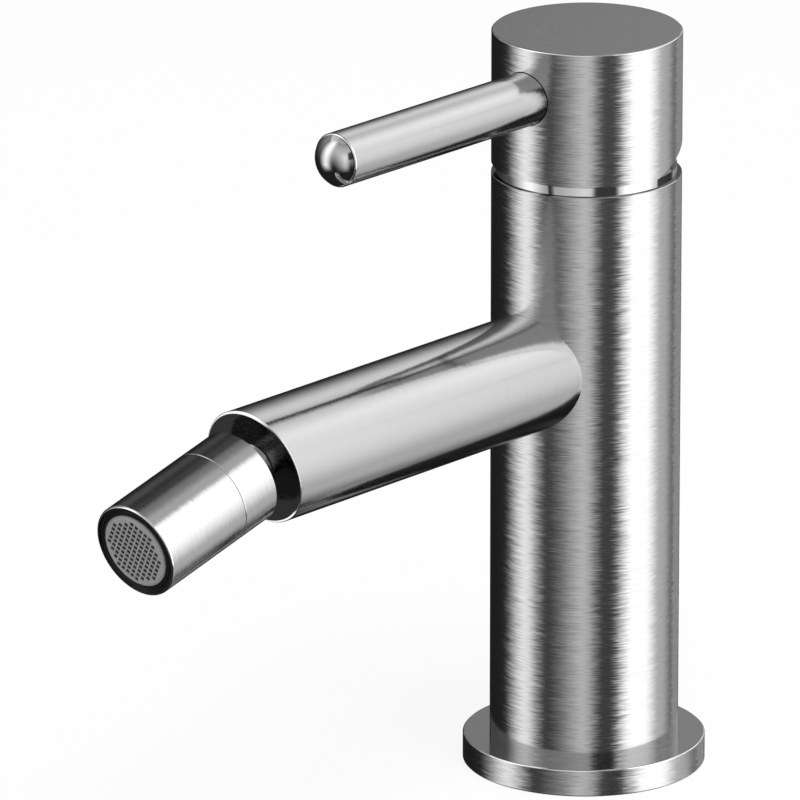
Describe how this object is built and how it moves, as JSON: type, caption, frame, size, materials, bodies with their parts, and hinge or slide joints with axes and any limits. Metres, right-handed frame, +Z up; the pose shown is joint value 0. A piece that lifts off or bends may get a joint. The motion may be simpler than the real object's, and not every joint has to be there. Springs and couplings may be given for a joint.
{
  "type": "bidet mixer",
  "caption": "Deck-mounted single-lever bidet mixer: round upright body, level spout with a tilting ball-jointed spray nozzle, and a cap with a pin lever that lifts and turns.",
  "frame": {"origin": "centre of the base flange's underside, on the body's axis, in the plane of the deck", "axes": "+Z up along the body, -Y the way the spout and the lever point, +X to the right of somebody who faces the mixer"},
  "size_m": [0.054, 0.176, 0.219],
  "materials": {
    "brushed_steel": "brushed round the axis, satin",
    "polished_steel": "polished",
    "plain_steel": "plain turned",
    "brass": "machined",
    "white_plastic": "moulded, matt",
    "ceramic": "ground and lapped",
    "rubber": "matt",
    "black_plastic": "glossy",
    "grid_plastic": "satin"
  },
  "bodies": {
    "mixer_body": {"body": "brushed_steel", "base_flange": "brushed_steel", "base_gasket": "rubber", "fixing_stud": "plain_steel", "horseshoe_rubber": "rubber", "horseshoe_plate": "plain_steel", "fixing_nut": "plain_steel", "cartridge_base": "white_plastic", "port_seals": "rubber", "disc_seals": "rubber", "fixed_disc": "ceramic", "cartridge_housing": "white_plastic", "cartridge_nut": "brass", "cover_ring": "polished_steel", "socket_ring": "polished_steel", "ball_seal": "rubber"},
    "turret": {"swivel_turret": "white_plastic", "stem_pin": "plain_steel"},
    "handle": {"handle_cap": "brushed_steel", "handle_grub_screw": "plain_steel", "lever_rod": "brushed_steel", "lever_tip": "polished_steel", "cartridge_stem": "brass"},
    "discs": {"moving_disc": "ceramic", "disc_carrier": "white_plastic"},
    "slip_ring": {"ball_slip_ring": "white_plastic"},
    "nozzle": {"swivel_ball": "polished_steel", "nozzle_o_ring": "rubber", "nozzle_collar": "brushed_steel", "nozzle_sleeve": "brushed_steel", "aerator_gasket": "rubber", "aerator_housing": "black_plastic", "flow_plate": "white_plastic", "mixing_screens": "plain_steel", "spray_grid": "grid_plastic"}
  },
  "joints": [
    {"name": "temperature_turn", "type": "hinge", "parent": "mixer_body", "child": "turret", "pos_m": [0, 0, 0.1302], "axis": [0, 0, 1], "range_deg": [-45, 45]},
    {"name": "lever_lift", "type": "hinge", "parent": "turret", "child": "handle", "pos_m": [0, 0, 0.1302], "axis": [-1, 0, 0], "range_deg": [0, 21]},
    {"name": "disc_slide", "type": "slide", "parent": "turret", "child": "discs", "axis": [0, -1, 0], "range_m": [0, 0.0028]},
    {"name": "nozzle_turn", "type": "hinge", "parent": "mixer_body", "child": "slip_ring", "pos_m": [0, -0.10541, 0.09588], "axis": [0, -0.9677, -0.2521], "continuous": true},
    {"name": "nozzle_tilt", "type": "hinge", "parent": "slip_ring", "child": "nozzle", "pos_m": [0, -0.10541, 0.09588], "axis": [1, 0, 0], "range_deg": [-15, 15]}
  ],
  "couplings": [
    {"joint": "disc_slide", "follows": "lever_lift", "m_per_rad": 0.00758}
  ]
}
